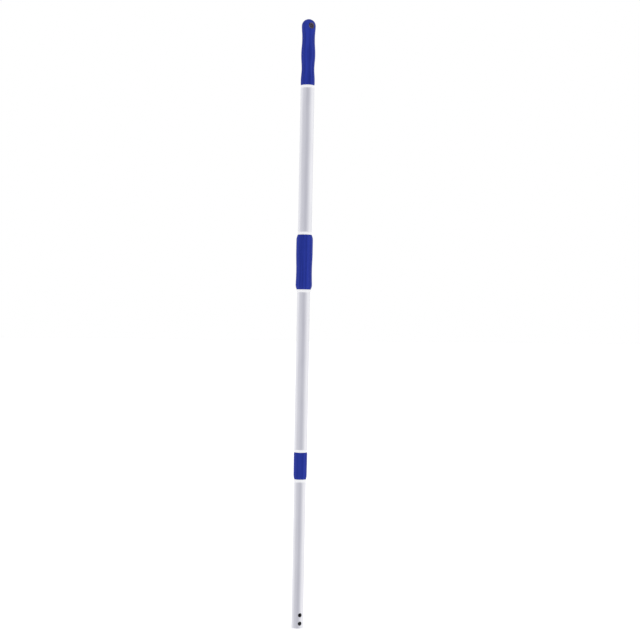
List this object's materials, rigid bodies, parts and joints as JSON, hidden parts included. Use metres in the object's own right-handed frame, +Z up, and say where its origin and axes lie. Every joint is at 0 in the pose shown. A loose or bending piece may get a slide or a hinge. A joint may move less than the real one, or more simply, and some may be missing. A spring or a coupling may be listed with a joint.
{
  "type": "telescopic pole for a drywall pole sander",
  "caption": "Telescopic aluminium sanding pole with a contoured end grip, slim twist-lock collars and a cross-drilled tool end.",
  "frame": {"origin": "centre of the tool end's opening, on the pole's axis", "axes": "+Z up along the pole from the tool end to the end grip, -Y out of the front mouths of the cross holes and of the hang hole"},
  "size_m": [0.0328, 0.0328, 1.2],
  "materials": {
    "grip_blue": "fine moulded texture, matte blue",
    "tube_aluminium": "satin anodised, drawn lengthwise",
    "white_nylon": "natural white nylon, semi-matt",
    "lock_nylon": "black glass-filled nylon, matt",
    "stud_steel": "zinc-plated steel"
  },
  "bodies": {
    "handle_section": {"upper_tube": "tube_aluminium", "end_grip": "grip_blue", "grip_end_ring": "white_nylon", "upper_collar": "grip_blue", "upper_collar_top_ring": "white_nylon", "upper_guide_bush": "white_nylon"},
    "upper_lock_sleeve": {"upper_spreader": "lock_nylon"},
    "upper_lock_nut": {"upper_cone_nut": "white_nylon"},
    "middle_section": {"middle_tube": "tube_aluminium", "upper_end_plug": "lock_nylon", "upper_lock_stud": "stud_steel", "upper_stud_cap": "lock_nylon", "lower_collar": "grip_blue", "lower_collar_top_ring": "white_nylon", "lower_guide_bush": "white_nylon"},
    "lower_lock_sleeve": {"lower_spreader": "lock_nylon"},
    "lower_lock_nut": {"lower_cone_nut": "white_nylon"},
    "lower_section": {"lower_tube": "tube_aluminium", "lower_end_plug": "lock_nylon", "lower_lock_stud": "stud_steel", "lower_stud_cap": "lock_nylon"}
  },
  "joints": [
    {"name": "upper_slide", "type": "slide", "parent": "handle_section", "child": "upper_lock_sleeve", "axis": [0, 0, 1], "range_m": [0, 0.29]},
    {"name": "upper_twist", "type": "hinge", "parent": "upper_lock_sleeve", "child": "middle_section", "pos_m": [0, 0, 0.7], "axis": [0, 0, -1], "range_deg": [0, 270]},
    {"name": "upper_nut_travel", "type": "slide", "parent": "upper_lock_sleeve", "child": "upper_lock_nut", "axis": [0, 0, 1], "range_m": [0, 0.0025]},
    {"name": "lower_slide", "type": "slide", "parent": "middle_section", "child": "lower_lock_sleeve", "axis": [0, 0, 1], "range_m": [0, 0.25]},
    {"name": "lower_twist", "type": "hinge", "parent": "lower_lock_sleeve", "child": "lower_section", "pos_m": [0, 0, 0.38], "axis": [0, 0, -1], "range_deg": [0, 270]},
    {"name": "lower_nut_travel", "type": "slide", "parent": "lower_lock_sleeve", "child": "lower_lock_nut", "axis": [0, 0, 1], "range_m": [0, 0.0025]}
  ],
  "couplings": [
    {"joint": "upper_nut_travel", "follows": "upper_twist", "m_per_rad": 0.00039789},
    {"joint": "lower_nut_travel", "follows": "lower_twist", "m_per_rad": 0.00039789}
  ]
}
